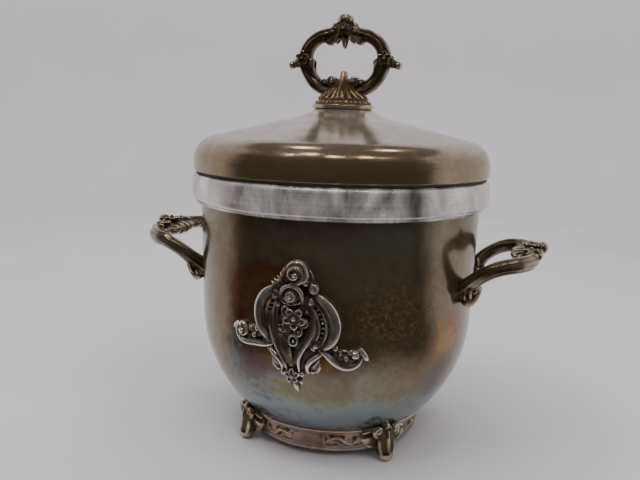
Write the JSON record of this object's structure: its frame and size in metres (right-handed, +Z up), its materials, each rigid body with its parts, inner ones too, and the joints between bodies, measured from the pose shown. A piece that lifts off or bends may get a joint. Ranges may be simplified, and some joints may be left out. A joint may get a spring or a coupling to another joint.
{
  "type": "covered ice bucket",
  "caption": "Footed silver-plated bucket with a wide collar, two cast loop handles, cast cartouches, an insulated liner and a lift-off domed lid with a loop finial.",
  "frame": {"origin": "on the table under the middle of the vessel, in the plane of the four soles", "axes": "+Z up along the vessel's axis; the handles stand on +X and -X; the front cartouche faces -Y"},
  "size_m": [0.2656, 0.19, 0.2705],
  "materials": {
    "tarnished_silver_plate": "mirror-polished silver plate with a brown and iridescent tarnish",
    "bright_silver_plate": "silver plate kept bright by wiping, with fine scratches round it",
    "antiqued_casting": "cast and silver plated, dark in the hollows and worn bright on the high places",
    "stainless_liner": "satin stainless steel, spun",
    "foam": "moulded rigid foam",
    "seal_rubber": "black moulded rubber",
    "zinc_steel": "zinc-plated steel"
  },
  "bodies": {
    "bucket": {"body_shell": "tarnished_silver_plate", "collar_band": "bright_silver_plate", "inner_liner": "stainless_liner", "rim_gasket": "seal_rubber", "liner_insulation": "foam", "liner_pad": "seal_rubber", "foot_ring": "antiqued_casting", "foot_front_left": "antiqued_casting", "foot_front_right": "antiqued_casting", "foot_rear_left": "antiqued_casting", "foot_rear_right": "antiqued_casting", "handle_left": "antiqued_casting", "handle_right": "antiqued_casting", "handle_screws": "zinc_steel", "handle_washers": "zinc_steel", "cartouche_front": "antiqued_casting", "cartouche_rear": "antiqued_casting"},
    "lid": {"lid_shell": "tarnished_silver_plate", "lid_pan": "stainless_liner", "lid_seal": "seal_rubber", "lid_insulation": "foam", "finial": "antiqued_casting", "finial_screw": "zinc_steel", "finial_washer": "zinc_steel"}
  },
  "joints": [
    {"name": "lid_lift", "type": "slide", "parent": "bucket", "child": "lid", "axis": [0, 0, 1], "range_m": [0, 0.15]}
  ]
}
